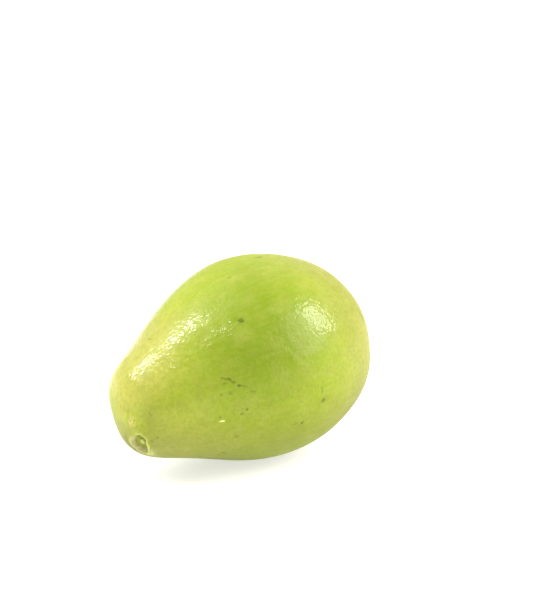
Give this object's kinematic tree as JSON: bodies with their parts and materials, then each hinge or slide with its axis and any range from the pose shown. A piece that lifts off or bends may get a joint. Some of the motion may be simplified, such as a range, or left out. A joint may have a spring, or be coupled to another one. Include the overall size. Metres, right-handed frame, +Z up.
{
  "type": "guava",
  "caption": "Green pear-shaped guava lying on its side on a small flat spot, with a round stem scar and a crown of dried sepals at the blossom end.",
  "frame": {"origin": "on the surface that the fruit lies on, under the middle of its bounding box", "axes": "+Z up, +X level from the stem end towards the blossom end"},
  "size_m": [0.0956, 0.068, 0.066],
  "materials": {
    "green_skin": "waxy, finely pebbled yellow-green fruit skin with small brown specks",
    "dry_sepal": "dry, matt, brown-green plant tissue"
  },
  "bodies": {
    "root": {"fruit": "green_skin", "calyx": "dry_sepal"}
  },
  "joints": []
}
